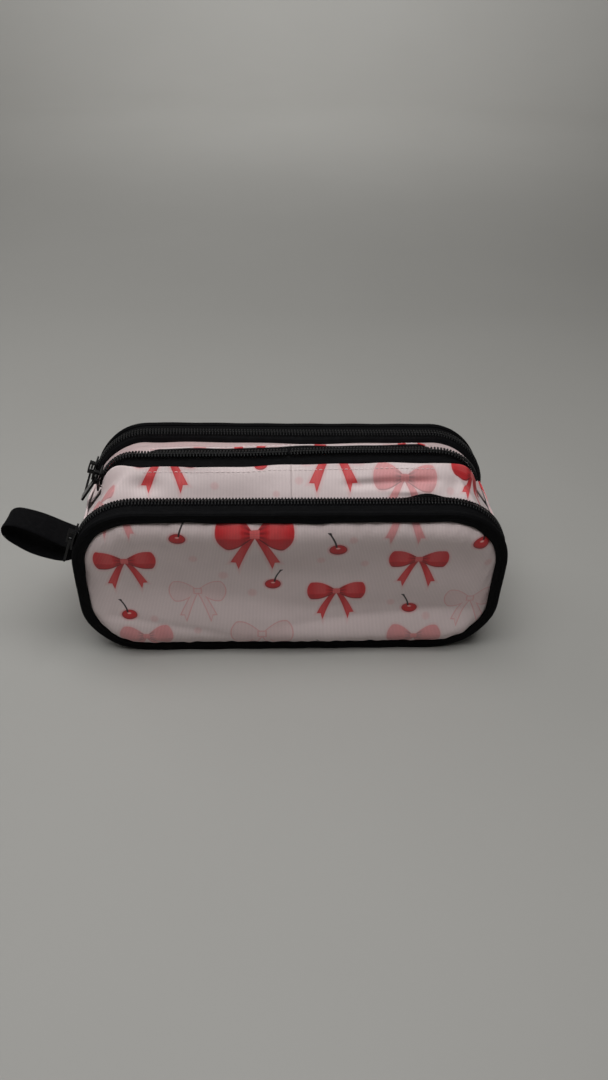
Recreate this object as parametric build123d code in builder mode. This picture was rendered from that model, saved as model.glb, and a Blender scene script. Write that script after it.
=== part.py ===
from build123d import *
import math
import os

# A soft zipped pencil case: a middle compartment between two slim pockets, each
# with its own zip. The frame stands on the middle of the flat bottom: +X to the
# right, the front pocket towards -Y, +Z up. All sizes in millimetres.

# Outline shared by both pockets, seen from the front.
case_length = 226
pocket_height = 95
corner_radius = 34
corner_x = case_length / 2 - corner_radius
corner_z = pocket_height - corner_radius

# Places through the depth of the front half. The back half mirrors them.
rim_y = -41
binding_front_y = -42.6
panel_crest_y = -48
front_zip_y = -32
pocket_seam_y = -24
divider_back_y = -22

# Cloth.
binding_width = 5.5
panel_thickness = 1.6
panel_slope = 65
cloth_thickness = 1.2
tape_thickness = 0.8
lining_thickness = 0.5
lining_inset = 5
panel_hem = 2

# Coil zip, the same for all three mouths.
coil_half_width = 3
coil_gap = 0.7
coil_height = 2
tape_inset = 0.3

# The pocket covers fold down about a line level with the lower ends of the zips.
fold_z = corner_z
clearance = 0.3
zip_end_angle = 32

# Middle compartment: steep cloth slopes up to the zip, round ends over the sides.
ridge_z = 103.4
ridge_half_width = 3.2
slope_top_y = 8.5
slope_top_z = 101.5
valley_z = 84.5
main_radius = 22
main_corner_x = 80
main_corner_z = ridge_z - main_radius
shoulder_x = 112
shoulder_z = 71
main_row_radius = main_radius - cloth_thickness
mouth_half_length = 78

# Slider, in its own sizes: plates over and under the coil, joined by a wedge.
slider_length = 11
slider_width = 8.6
slider_clearance = 0.3
bottom_plate = 0.9
top_plate = 1
wedge_thickness = 0.9
wedge_length = 2.5
bridge_width = 2.2
bridge_length = 7
bridge_hole_length = 4.5
bridge_hole_height = 2
bridge_thickness = 1
pocket_slider_angle = 20
main_slider_angle = 16
main_pull_lean = 35

# Pull tab.
pull_length = 17
pull_width = 6
pull_thickness = 1.2
pull_window_length = 4.4
pull_window_width = 3.2

# Side strap: one webbing loop sewn to the left side.
strap_near_y = -27.4
strap_width = 20
strap_thickness = 1.4
strap_root_z = 56.5
strap_tab_height = 6
strap_seam_gap = 0.2

# The loop's corners, counted from its root: outwards, up, and the bend's radius.
strap_corners = (
    (0, 3, 1.5),
    (19, 20, 6),
    (37, 27, 4),
    (44, 20, 4),
    (30, 1, 8),
    (14, -4, 6),
)

os.makedirs("parts", exist_ok=True)


def upright(y):
    return Plane(origin=(0, y, 0), x_dir=(1, 0, 0), z_dir=(0, -1, 0))


def pocket_outline(inset, mode=Mode.ADD):
    with Locations((0, pocket_height / 2)):
        RectangleRounded(
            case_length - 2 * inset,
            pocket_height - 2 * inset,
            corner_radius - inset,
            mode=mode,
        )


def rim_band(outer, inner, front_y, back_y):
    """A closed band that follows the pocket's outline between two insets."""
    with BuildSketch(upright(front_y)) as ring:
        pocket_outline(outer)
        pocket_outline(inner, mode=Mode.SUBTRACT)
    extrude(ring.sketch, amount=front_y - back_y)


def mouth_prism(mode, growth=0):
    """The space above the fold line and right of the zip's sewn left end."""
    angle = math.radians(zip_end_angle)
    reach = 80
    with BuildSketch(upright(0)) as opening:
        with BuildLine():
            Polyline(
                (-corner_x, fold_z),
                (-corner_x - reach * math.cos(angle), fold_z + reach * math.sin(angle)),
                (-case_length, 2 * case_length),
                (case_length, 2 * case_length),
                (case_length, fold_z),
                close=True,
            )
        make_face()
        if growth:
            offset(amount=growth, mode=Mode.REPLACE)
    extrude(opening.sketch, amount=2 * case_length, both=True, mode=mode)


def keep_above(z):
    split(bisect_by=Plane.XY.offset(z), keep=Keep.TOP)


def keep_below(z):
    split(bisect_by=Plane.XY.offset(z), keep=Keep.BOTTOM)


def bulged_panel():
    """A padded cloth panel with a sloping border, hollow behind."""
    flat = -rim_y + binding_front_y
    rise = rim_y + flat - panel_crest_y
    with BuildSketch(upright(rim_y + flat)) as outside:
        pocket_outline(binding_width)
    extrude(outside.sketch, amount=rise, taper=panel_slope)
    with BuildSketch(upright(rim_y + flat + panel_thickness)) as inside:
        pocket_outline(binding_width)
    extrude(inside.sketch, amount=rise, taper=panel_slope, mode=Mode.SUBTRACT)
    rim_band(binding_width, binding_width + panel_hem, rim_y + flat, rim_y)


def seam_cone(inset, mode=Mode.ADD):
    """The inner tape's fall from the zip to the seam in the valley."""
    with BuildSketch(upright(front_zip_y + coil_half_width)) as zip_side:
        pocket_outline(inset)
    with BuildSketch(upright(pocket_seam_y)) as seam_side:
        with Locations((0, valley_z / 2)):
            RectangleRounded(
                case_length - 2 * inset,
                valley_z - 2 * inset + 2 * cloth_thickness,
                corner_radius - inset,
            )
    loft([zip_side.sketch, seam_side.sketch], mode=mode)


# ---------------------------------------------------------------- front pocket

with BuildPart() as front_panel:
    bulged_panel()
    keep_below(fold_z - clearance)

with BuildPart() as front_cover_panel:
    bulged_panel()
    keep_above(fold_z)

with BuildPart() as front_binding:
    rim_band(0, binding_width, binding_front_y, rim_y)
    keep_below(fold_z - clearance)

with BuildPart() as front_cover_binding:
    rim_band(0, binding_width, binding_front_y, rim_y)
    keep_above(fold_z)

with BuildPart() as front_gusset:
    rim_band(tape_inset, tape_inset + cloth_thickness, rim_y, pocket_seam_y)
    keep_below(fold_z - clearance)

# The outer tape and its coil open with the cover. Their lower left ends stay
# sewn to the case, and the slider rests on them.
outer_tape_back_y = front_zip_y - coil_half_width
outer_coil_back_y = front_zip_y - coil_gap
inner_coil_front_y = front_zip_y + coil_gap
inner_tape_front_y = front_zip_y + coil_half_width
tape_back_inset = tape_inset + tape_thickness
coil_front_inset = tape_back_inset - coil_height

with BuildPart() as front_cover_tape:
    rim_band(tape_inset, tape_back_inset, rim_y, outer_tape_back_y)
    mouth_prism(Mode.INTERSECT)

with BuildPart() as front_cover_coil:
    rim_band(coil_front_inset, tape_back_inset, outer_tape_back_y, outer_coil_back_y)
    mouth_prism(Mode.INTERSECT)

with BuildPart() as front_tape_end:
    rim_band(tape_inset, tape_back_inset, rim_y + clearance, outer_tape_back_y)
    mouth_prism(Mode.SUBTRACT, growth=clearance)
    keep_above(fold_z)

with BuildPart() as front_coil_end:
    rim_band(coil_front_inset, tape_back_inset, outer_tape_back_y, outer_coil_back_y)
    mouth_prism(Mode.SUBTRACT, growth=clearance)
    keep_above(fold_z)

with BuildPart() as front_inner_coil:
    rim_band(coil_front_inset, tape_back_inset, inner_coil_front_y, inner_tape_front_y)
    keep_above(fold_z - clearance)

with BuildPart() as front_inner_tape:
    seam_cone(tape_inset)
    seam_cone(tape_back_inset, mode=Mode.SUBTRACT)
    keep_above(fold_z - clearance)

with BuildPart() as front_divider:
    with BuildSketch(upright(pocket_seam_y)):
        with Locations((0, (valley_z + cloth_thickness) / 2)):
            RectangleRounded(
                case_length - 2 * cloth_thickness,
                valley_z - cloth_thickness,
                corner_radius - cloth_thickness,
            )
    extrude(amount=pocket_seam_y - divider_back_y)

with BuildPart() as front_pocket_lining:
    with BuildSketch(upright(pocket_seam_y)):
        with Locations((0, valley_z / 2)):
            RectangleRounded(
                case_length - 2 * lining_inset,
                valley_z - 2 * lining_inset,
                corner_radius - lining_inset,
            )
    extrude(amount=lining_thickness)

# ----------------------------------------------------------- middle compartment


def roof_section(inset):
    """The middle compartment cut across, from the side walls up to the ridge."""
    half_depth = -divider_back_y - inset
    with BuildSketch(Plane.YZ) as section:
        with BuildLine():
            Polyline(
                (-half_depth, 0),
                (-half_depth, valley_z - inset / 2),
                (-slope_top_y, slope_top_z - inset),
                (-ridge_half_width, ridge_z - inset),
                (ridge_half_width, ridge_z - inset),
                (slope_top_y, slope_top_z - inset),
                (half_depth, valley_z - inset / 2),
                (half_depth, 0),
                close=True,
            )
        make_face()
    return section.sketch


def end_section(inset):
    """The middle compartment cut along, with its round ends."""
    end_x = main_corner_x + main_radius - inset
    with BuildSketch(upright(0)) as section:
        with BuildLine():
            Line((-main_corner_x, ridge_z - inset), (main_corner_x, ridge_z - inset))
            CenterArc((main_corner_x, main_corner_z), main_radius - inset, 0, 90)
            Polyline(
                (end_x, main_corner_z),
                (shoulder_x - inset, shoulder_z),
                (-shoulder_x + inset, shoulder_z),
                (-end_x, main_corner_z),
            )
            CenterArc((-main_corner_x, main_corner_z), main_radius - inset, 90, 90)
        make_face()
    return section.sketch


with BuildPart() as roof_outside:
    extrude(roof_section(0), amount=case_length, both=True)
    extrude(end_section(0), amount=case_length, both=True, mode=Mode.INTERSECT)

with BuildPart() as roof_inside:
    extrude(roof_section(cloth_thickness), amount=case_length, both=True)
    extrude(end_section(cloth_thickness), amount=case_length, both=True, mode=Mode.INTERSECT)

with BuildPart() as roof:
    add(roof_outside.part)
    add(roof_inside.part, mode=Mode.SUBTRACT)


def column(x_range, y_range, low_z=0, mode=Mode.INTERSECT):
    """Keep, or take away, what stands over a rectangle of the floor."""
    with BuildSketch(Plane.XY.offset(low_z)) as floor_area:
        with Locations(((x_range[0] + x_range[1]) / 2, (y_range[0] + y_range[1]) / 2)):
            Rectangle(x_range[1] - x_range[0], y_range[1] - y_range[0])
    extrude(floor_area.sketch, amount=2 * pocket_height, mode=mode)


mouth_x = (-mouth_half_length, mouth_half_length)
left_x = (-case_length, -mouth_half_length - clearance)
front_slope_y = (divider_back_y, -slope_top_y)
front_tape_y = (-slope_top_y, -coil_half_width)
end_tape_y = (-slope_top_y, slope_top_y)

with BuildPart() as main_front_slope:
    add(roof.part)
    column(mouth_x, front_slope_y)

with BuildPart() as main_front_tape:
    add(roof.part)
    column(mouth_x, front_tape_y)

with BuildPart() as main_front_coil:
    with BuildSketch(Plane.XY.offset(ridge_z - cloth_thickness)):
        with Locations((0, -(coil_half_width + coil_gap) / 2)):
            Rectangle(2 * mouth_half_length, coil_half_width - coil_gap)
    extrude(amount=coil_height)

# Beyond the mouth the zip runs round each end of the compartment, sewn down.
with BuildPart() as main_left_tape_end:
    add(roof.part)
    column(left_x, end_tape_y)
    column(left_x, (-coil_half_width, coil_half_width), mode=Mode.SUBTRACT)
    keep_above(main_corner_z)

coil_low = ridge_z - cloth_thickness
mouth_end_x = -mouth_half_length - clearance
coil_foot_x = -main_corner_x - main_row_radius

with BuildPart() as main_left_coil_end:
    with BuildSketch(upright(0)) as coil_side:
        with BuildLine():
            for height in (0, coil_height):
                CenterArc((-main_corner_x, main_corner_z), main_row_radius + height, 90, 90)
                Line((-main_corner_x, coil_low + height), (mouth_end_x, coil_low + height))
            Line((mouth_end_x, coil_low), (mouth_end_x, coil_low + coil_height))
            Line((coil_foot_x, main_corner_z), (coil_foot_x - coil_height, main_corner_z))
        make_face()
    extrude(coil_side.sketch, amount=coil_half_width, both=True)
    column(left_x, (-coil_gap, coil_gap), mode=Mode.SUBTRACT)

with BuildPart() as main_left_end:
    add(roof.part)
    column(left_x, (divider_back_y, -divider_back_y))
    column(left_x, end_tape_y, low_z=main_corner_z, mode=Mode.SUBTRACT)

with BuildPart() as main_gusset:
    rim_band(0, cloth_thickness, divider_back_y, -divider_back_y)
    keep_below(shoulder_z)

with BuildPart() as main_front_lining:
    with BuildSketch(upright(divider_back_y + lining_thickness)):
        with Locations((0, shoulder_z / 2)):
            RectangleRounded(
                case_length - 4 * lining_inset,
                shoulder_z - 2 * lining_inset,
                corner_radius - 2 * lining_inset,
            )
    extrude(amount=lining_thickness)

# --------------------------------------------------------------------- sliders


def sector(centre, radii, angles, y_range, mode=Mode.ADD):
    """Part of a ring about a line along Y; angles count up from the left side."""
    first, last = (math.radians(a) for a in angles)
    middle = (first + last) / 2

    def at(radius, angle):
        return (
            centre[0] - radius * math.cos(angle),
            centre[1] + radius * math.sin(angle),
        )

    with BuildSketch(upright(y_range[0])) as side:
        with BuildLine():
            ThreePointArc(*(at(radii[0], a) for a in (first, middle, last)))
            ThreePointArc(*(at(radii[1], a) for a in (first, middle, last)))
            Line(at(radii[0], first), at(radii[1], first))
            Line(at(radii[0], last), at(radii[1], last))
        make_face()
    extrude(side.sketch, amount=y_range[0] - y_range[1], mode=mode)


def make_slider(centre, inner_radius, angle, zip_y):
    """Two curved plates, the wedge between the rows, and the pull's bridge."""
    outer_radius = inner_radius + coil_height
    under = inner_radius - slider_clearance
    over = outer_radius + slider_clearance
    lid = over + top_plate

    def span(length, shift=0):
        half = math.degrees(length / 2 / outer_radius)
        offset_angle = math.degrees(shift / outer_radius)
        return (angle + offset_angle - half, angle + offset_angle + half)

    def across(width):
        return (zip_y - width / 2, zip_y + width / 2)

    bottom_radii = (under - bottom_plate, under)
    sector(centre, bottom_radii, span(slider_length), across(2 * coil_half_width))
    sector(centre, (over, lid), span(slider_length), across(slider_width))
    wedge_shift = (slider_length - wedge_length) / 2
    wedge_radii = (under - bottom_plate, lid)
    sector(centre, wedge_radii, span(wedge_length, wedge_shift), across(wedge_thickness))
    bridge_top = lid + bridge_hole_height + bridge_thickness
    sector(centre, (lid, bridge_top), span(bridge_length), across(bridge_width))
    hole_radii = (lid, lid + bridge_hole_height)
    sector(centre, hole_radii, span(bridge_hole_length), across(bridge_width), Mode.SUBTRACT)


def pull_pivot(centre, inner_radius, angle):
    """The middle of the bridge's hole, where the pull's bar turns."""
    radius = inner_radius + coil_height + slider_clearance + top_plate + bridge_hole_height / 2
    turn = math.radians(angle)
    return (centre[0] - radius * math.cos(turn), centre[1] + radius * math.sin(turn))


def make_pull(pivot, angle, zip_y):
    """A flat tab with a window at its top, hanging along the zip."""
    turn = math.radians(angle)
    plane = Plane(
        origin=(pivot[0], zip_y, pivot[1]),
        x_dir=(-math.sin(turn), 0, -math.cos(turn)),
        z_dir=(math.cos(turn), 0, -math.sin(turn)),
    )
    bar = pull_thickness
    with BuildSketch(plane) as tab:
        with Locations((pull_length / 2 - bar / 2, 0)):
            RectangleRounded(pull_length, pull_width, 1)
        with Locations((bar / 2 + pull_window_length / 2, 0)):
            Rectangle(pull_window_length, pull_window_width, mode=Mode.SUBTRACT)
    extrude(tab.sketch, amount=pull_thickness / 2, both=True)


pocket_corner = (-corner_x, corner_z)
pocket_row_radius = corner_radius - tape_back_inset
main_corner = (-main_corner_x, main_corner_z)

with BuildPart() as front_slider:
    make_slider(pocket_corner, pocket_row_radius, pocket_slider_angle, front_zip_y)

with BuildPart() as main_slider:
    make_slider(main_corner, main_row_radius, main_slider_angle, 0)

front_pull_pivot = pull_pivot(pocket_corner, pocket_row_radius, pocket_slider_angle)
main_pull_pivot = pull_pivot(main_corner, main_row_radius, main_slider_angle)

with BuildPart() as front_pull:
    make_pull(front_pull_pivot, pocket_slider_angle, front_zip_y)

with BuildPart() as main_pull:
    make_pull(main_pull_pivot, main_pull_lean, 0)

print("front pull pivot", front_pull_pivot)
print("main pull pivot", main_pull_pivot)

# ------------------------------------------------------------------ side strap

strap_x = -case_length / 2 - clearance / 2

with BuildPart() as strap_tab:
    with BuildSketch(upright(strap_near_y)):
        with Locations((strap_x, strap_root_z - clearance)):
            Rectangle(strap_thickness, strap_tab_height, align=(Align.MAX, Align.MAX))
    extrude(amount=-strap_width)

loop_x = strap_x - strap_seam_gap

with BuildPart() as strap:
    with BuildSketch(upright(strap_near_y)):
        with BuildLine():
            FilletPolyline(
                *((loop_x - out, strap_root_z + up) for out, up, bend in strap_corners),
                radius=[bend for out, up, bend in strap_corners],
                close=True,
            )
        make_face()
        offset(amount=-strap_thickness, mode=Mode.SUBTRACT)
    extrude(amount=-strap_width)

# ------------------------------------------------- mirrored pieces and export

front_pieces = {
    "panel": front_panel,
    "cover_panel": front_cover_panel,
    "binding": front_binding,
    "cover_binding": front_cover_binding,
    "gusset": front_gusset,
    "cover_tape": front_cover_tape,
    "cover_coil": front_cover_coil,
    "tape_end": front_tape_end,
    "coil_end": front_coil_end,
    "inner_coil": front_inner_coil,
    "inner_tape": front_inner_tape,
    "divider": front_divider,
    "pocket_lining": front_pocket_lining,
    "slider": front_slider,
    "pull": front_pull,
}

half_pieces = {
    "slope": main_front_slope,
    "tape": main_front_tape,
    "coil": main_front_coil,
    "lining": main_front_lining,
}

end_pieces = {
    "end": main_left_end,
    "tape_end": main_left_tape_end,
    "coil_end": main_left_coil_end,
}

finished = {
    "main_gusset": main_gusset.part,
    "main_slider": main_slider.part,
    "main_pull": main_pull.part,
    "strap_tab": strap_tab.part,
    "strap": strap.part,
}

for name, piece in front_pieces.items():
    finished["front_" + name] = piece.part
    finished["back_" + name] = mirror(piece.part, about=Plane.XZ)

for name, piece in half_pieces.items():
    finished["main_front_" + name] = piece.part
    finished["main_back_" + name] = mirror(piece.part, about=Plane.XZ)

for name, piece in end_pieces.items():
    finished["main_left_" + name] = piece.part
    finished["main_right_" + name] = mirror(piece.part, about=Plane.YZ)

for name, part in finished.items():
    part.label = name
    export_step(part, f"parts/{name}.step")

print(len(finished), "nodes")
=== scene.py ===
import math

import bpy
import numpy as np
from mathutils import Matrix, Vector


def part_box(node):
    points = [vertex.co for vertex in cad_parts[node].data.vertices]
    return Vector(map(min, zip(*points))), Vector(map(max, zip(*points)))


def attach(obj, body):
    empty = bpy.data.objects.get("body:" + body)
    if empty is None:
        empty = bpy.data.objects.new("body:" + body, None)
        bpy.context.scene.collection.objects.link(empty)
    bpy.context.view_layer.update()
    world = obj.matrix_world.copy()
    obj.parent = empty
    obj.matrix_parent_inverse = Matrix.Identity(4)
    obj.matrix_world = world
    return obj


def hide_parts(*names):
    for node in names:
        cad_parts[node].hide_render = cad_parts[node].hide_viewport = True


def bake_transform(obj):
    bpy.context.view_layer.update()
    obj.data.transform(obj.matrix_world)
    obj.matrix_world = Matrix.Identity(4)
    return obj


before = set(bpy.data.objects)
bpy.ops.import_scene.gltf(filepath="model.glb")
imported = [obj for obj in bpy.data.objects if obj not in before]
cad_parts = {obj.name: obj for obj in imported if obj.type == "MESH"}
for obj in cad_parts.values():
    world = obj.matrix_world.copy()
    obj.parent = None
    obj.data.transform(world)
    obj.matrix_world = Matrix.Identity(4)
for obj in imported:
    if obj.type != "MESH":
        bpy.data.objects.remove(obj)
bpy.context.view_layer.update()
mm = 0.001

# Shared sizes in millimetres, the same as the frame's.
caseSize = {
    "length": 226,
    "pocketHeight": 95,
    "cornerRadius": 34,
    "rimY": 41,
    "zipY": 32,
    "wallY": 22.5,
    "bindingWidth": 5.8,
}


viewSettings = {
    "place": (-10.99, -364.45, 334.98),
    "down": 38.5,  # degrees below level
    "turn": 3.0,
    "roll": 1.6,
    "focal": 27.03,
    "sensor": 36.0,
}


def placeCamera(settings):
    # Right, up and forward come from the turn about Z, the tilt down and the roll about the line of sight.
    down, turn, roll = (math.radians(settings[k]) for k in ("down", "turn", "roll"))
    forward = Vector((math.sin(turn) * math.cos(down), math.cos(turn) * math.cos(down), -math.sin(down)))
    level = Vector((math.cos(turn), -math.sin(turn), 0))
    rise = level.cross(forward)
    right = math.cos(roll) * level + math.sin(roll) * rise
    up = math.cos(roll) * rise - math.sin(roll) * level
    data = bpy.data.cameras.new("studioCamera")
    data.lens = settings["focal"]
    data.sensor_width = settings["sensor"]
    data.clip_start = 0.01
    camera = bpy.data.objects.new("studioCamera", data)
    turned = Matrix((right, up, -forward)).transposed().to_4x4()
    camera.matrix_world = Matrix.Translation(Vector(settings["place"]) * mm) @ turned
    bpy.context.scene.collection.objects.link(camera)
    bpy.context.scene.camera = camera


lampSettings = {
    "overhead": {"place": (-60, -130, 950), "aim": (0, 0, 60), "size": 800, "watts": 7.4},
    "window": {"place": (-600, 420, 650), "aim": (0, 0, 50), "size": 500, "watts": 1.2},
    "front": {"place": (200, -900, 420), "aim": (0, 0, 40), "size": 500, "watts": 0.1},
    "backdrop": {"place": (0, 1250, 1000), "aim": (0, 2300, 150), "size": 800, "watts": 9},
}


def placeLamps(settings):
    for name, lamp in settings.items():
        data = bpy.data.lights.new(name, "AREA")
        data.energy = lamp["watts"]
        data.size = lamp["size"] * mm
        item = bpy.data.objects.new(name, data)
        place = Vector(lamp["place"]) * mm
        look = Vector(lamp["aim"]) * mm - place
        item.matrix_world = Matrix.Translation(place) @ look.to_track_quat("-Z", "Y").to_matrix().to_4x4()
        bpy.context.scene.collection.objects.link(item)
    world = bpy.data.worlds.new("studioAir")
    world.use_nodes = True
    world.node_tree.nodes["Background"].inputs["Color"].default_value = (0.90, 0.90, 0.88, 1)
    world.node_tree.nodes["Background"].inputs["Strength"].default_value = 0.11
    bpy.context.scene.world = world
    bpy.context.scene.view_settings.view_transform = "Standard"


placeCamera(viewSettings)
placeLamps(lampSettings)
print("camera and lamps")


def addNode(tree, kind, **settings):
    node = tree.nodes.new(kind)
    for key, value in settings.items():
        setattr(node, key, value)
    return node


def feed(tree, socket, value):
    # A number or tuple goes on the socket itself, anything else is linked to it.
    if isinstance(value, (int, float, tuple)):
        socket.default_value = value
    else:
        tree.links.new(value, socket)


def calc(tree, operation, *values, clamp=False):
    node = addNode(tree, "ShaderNodeMath", operation=operation, use_clamp=clamp)
    for socket, value in zip(node.inputs, values):
        feed(tree, socket, value)
    return node.outputs[0]


def ramp(tree, value, low, high):
    # 0 below low and 1 above high, smooth between; low may be the larger.
    node = addNode(tree, "ShaderNodeMapRange", interpolation_type="SMOOTHSTEP")
    for socket, number in zip(node.inputs, (value, low, high, 0.0, 1.0)):
        feed(tree, socket, number)
    return node.outputs["Result"]


def blendColours(tree, factor, under, over, mode="MIX"):
    node = addNode(tree, "ShaderNodeMix", data_type="RGBA", blend_type=mode)
    feed(tree, node.inputs["Factor"], factor)
    feed(tree, node.inputs["A"], under)
    feed(tree, node.inputs["B"], over)
    return node.outputs["Result"]


def newGroup(name, inputs, outputs):
    group = bpy.data.node_groups.new(name, "ShaderNodeTree")
    for label, kind, value in inputs:
        socket = group.interface.new_socket(label, in_out="INPUT", socket_type=kind)
        if value is not None:
            socket.default_value = value
    for label, kind in outputs:
        group.interface.new_socket(label, in_out="OUTPUT", socket_type=kind)
    start = group.nodes.new("NodeGroupInput")
    end = group.nodes.new("NodeGroupOutput")
    return group, start.outputs, end.inputs


def useGroup(tree, group, **values):
    node = addNode(tree, "ShaderNodeGroup")
    node.node_tree = group
    for key, value in values.items():
        feed(tree, node.inputs[key], value)
    return node.outputs


number, vector = "NodeSocketFloat", "NodeSocketVector"


def makeWeaveGroup():
    # Threads crossing: two sine ripples at right angles, one half over the other, and a slow uneven shade.
    group, given, result = newGroup(
        "weave",
        [("Place", vector, None), ("Pitch", number, 0.6), ("Slant", number, 0.0)],
        [("Height", number), ("Shade", number)],
    )
    split = addNode(group, "ShaderNodeSeparateXYZ")
    feed(group, split.inputs[0], given["Place"])
    scale = calc(group, "DIVIDE", 2 * math.pi, given["Pitch"])
    across = calc(group, "ADD", split.outputs[0], calc(group, "MULTIPLY", split.outputs[1], given["Slant"]))
    warp = calc(group, "SINE", calc(group, "MULTIPLY", across, scale))
    weft = calc(group, "SINE", calc(group, "MULTIPLY", split.outputs[1], scale))
    over = calc(group, "MULTIPLY", warp, weft)
    ripple = calc(group, "MULTIPLY_ADD", over, 0.3, calc(group, "MULTIPLY_ADD", warp, 0.25, 0.5))
    slow = addNode(group, "ShaderNodeTexNoise")
    slow.inputs["Scale"].default_value = 0.09
    feed(group, slow.inputs["Vector"], given["Place"])
    shade = calc(
        group, "MULTIPLY_ADD", calc(group, "SUBTRACT", slow.outputs[0], 0.5), 0.10,
        calc(group, "MULTIPLY_ADD", warp, 0.10, 1.0),
    )
    feed(group, result["Height"], ripple)
    feed(group, result["Shade"], shade)
    return group


def makeBowGroup():
    # In the bow's own units its half width is 1. Each loop widens from the knot, |u| 0.1, to its rounded
    # end, and each tail is a slanting strip that widens downwards and ends in a slanting notch.
    group, given, result = newGroup(
        "bowPrint",
        [("Place", vector, None), ("Centre", vector, None), ("Size", number, 16.0), ("Turn", number, 0.0),
         ("Fullness", number, 1.0)],
        [("Mask", number), ("Edge", number), ("Shade", number), ("Knot", number), ("Glow", number)],
    )
    local = addNode(group, "ShaderNodeVectorMath", operation="SUBTRACT")
    feed(group, local.inputs[0], given["Place"])
    feed(group, local.inputs[1], given["Centre"])
    turned = addNode(group, "ShaderNodeVectorRotate", rotation_type="Z_AXIS")
    feed(group, turned.inputs["Vector"], local.outputs[0])
    feed(group, turned.inputs["Angle"], given["Turn"])
    split = addNode(group, "ShaderNodeSeparateXYZ")
    feed(group, split.inputs[0], turned.outputs[0])
    u = calc(group, "DIVIDE", split.outputs[0], given["Size"])
    v = calc(group, "DIVIDE", split.outputs[1], given["Size"])
    a = calc(group, "ABSOLUTE", u)
    # Loops: how far inside the upper edge, the lower edge and the round end.
    out = calc(group, "DIVIDE", calc(group, "SUBTRACT", a, 0.08), 0.62, clamp=True)
    swell = calc(
        group, "MULTIPLY", calc(group, "SINE", calc(group, "MULTIPLY", out, math.pi / 2)),
        given["Fullness"],
    )
    top = calc(group, "MULTIPLY_ADD", swell, 0.28, 0.11)
    low = calc(group, "MULTIPLY_ADD", swell, -0.26, -0.11)
    side = calc(
        group, "SUBTRACT", 1.0,
        calc(
            group, "MULTIPLY",
            calc(group, "POWER", calc(group, "ABSOLUTE", calc(group, "SUBTRACT", v, 0.02)), 2.2), 1.1,
        ),
    )
    insideTop = calc(group, "SUBTRACT", top, v)
    insideLow = calc(group, "SUBTRACT", v, low)
    insideEnd = calc(group, "SUBTRACT", side, a)
    loops = calc(
        group, "SMOOTH_MIN", calc(group, "SMOOTH_MIN", insideTop, insideLow, 0.05), insideEnd, 0.09,
    )
    # Tails.
    drop = calc(group, "DIVIDE", calc(group, "SUBTRACT", -0.07, v), 1.0)
    reach = calc(group, "POWER", calc(group, "MAXIMUM", drop, 0.0), 0.85)
    middle = calc(group, "MULTIPLY_ADD", reach, 0.47, 0.07)
    half = calc(group, "MULTIPLY_ADD", drop, 0.060, 0.095)
    aside = calc(group, "SUBTRACT", a, middle)
    off = calc(group, "ABSOLUTE", aside)
    insideTail = calc(group, "SUBTRACT", half, off)
    notch = calc(group, "MULTIPLY_ADD", calc(group, "DIVIDE", off, half), -0.12, -0.98)
    notch = calc(group, "MULTIPLY_ADD", calc(group, "DIVIDE", aside, half), 0.13, notch)
    insideTail = calc(group, "MINIMUM", insideTail, calc(group, "SUBTRACT", v, notch))
    insideTail = calc(group, "MINIMUM", insideTail, calc(group, "MULTIPLY", drop, 0.8))
    whole = calc(group, "MAXIMUM", loops, insideTail)
    knot = calc(
        group, "SUBTRACT", 0.13,
        calc(group, "MAXIMUM", a, calc(group, "MULTIPLY", calc(group, "ABSOLUTE", v), 1.15)),
    )
    whole = calc(group, "MAXIMUM", whole, knot)
    feed(group, result["Mask"], ramp(group, whole, -0.012, 0.018))
    edge = calc(group, "ABSOLUTE", calc(group, "MAXIMUM", loops, insideTail))
    ring = calc(group, "ABSOLUTE", calc(group, "SUBTRACT", knot, 0.0))
    feed(group, result["Edge"], ramp(group, calc(group, "MINIMUM", edge, ring), 0.035, 0.005))
    feed(group, result["Knot"], ramp(group, knot, -0.005, 0.02))
    feed(group, result["Glow"], ramp(group, whole, -0.13, 0.02))
    # Folds run out from the knot: dark near it and along the lower edge, bright on the round of each loop.
    pinch = ramp(group, a, 0.42, 0.10)
    rays = calc(
        group, "SINE",
        calc(group, "MULTIPLY", calc(group, "DIVIDE", v, calc(group, "ADD", a, 0.12)), 17.0),
    )
    folds = calc(group, "MULTIPLY", pinch, calc(group, "MULTIPLY_ADD", rays, 0.34, 0.46))
    folds = calc(group, "MULTIPLY", folds, ramp(group, loops, -0.01, 0.02))
    hem = calc(group, "MULTIPLY", ramp(group, insideLow, 0.07, 0.0), 0.80)
    hem = calc(group, "MULTIPLY", hem, ramp(group, loops, -0.01, 0.02))
    tailEdge = calc(
        group, "MULTIPLY", ramp(group, drop, 0.02, 0.10),
        calc(group, "MULTIPLY", ramp(group, insideTail, 0.05, 0.0), 0.30),
    )
    under = calc(
        group, "MULTIPLY", ramp(group, drop, 0.40, 0.05),
        calc(group, "MULTIPLY", ramp(group, loops, 0.0, -0.02), 0.30),
    )
    bright = calc(
        group, "MULTIPLY", ramp(group, a, 0.22, 0.42),
        calc(group, "MULTIPLY", ramp(group, a, 0.90, 0.55), 0.20),
    )
    dark = calc(group, "ADD", calc(group, "ADD", folds, hem), calc(group, "ADD", tailEdge, under))
    feed(group, result["Shade"], calc(group, "SUBTRACT", bright, dark))
    return group


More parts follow.
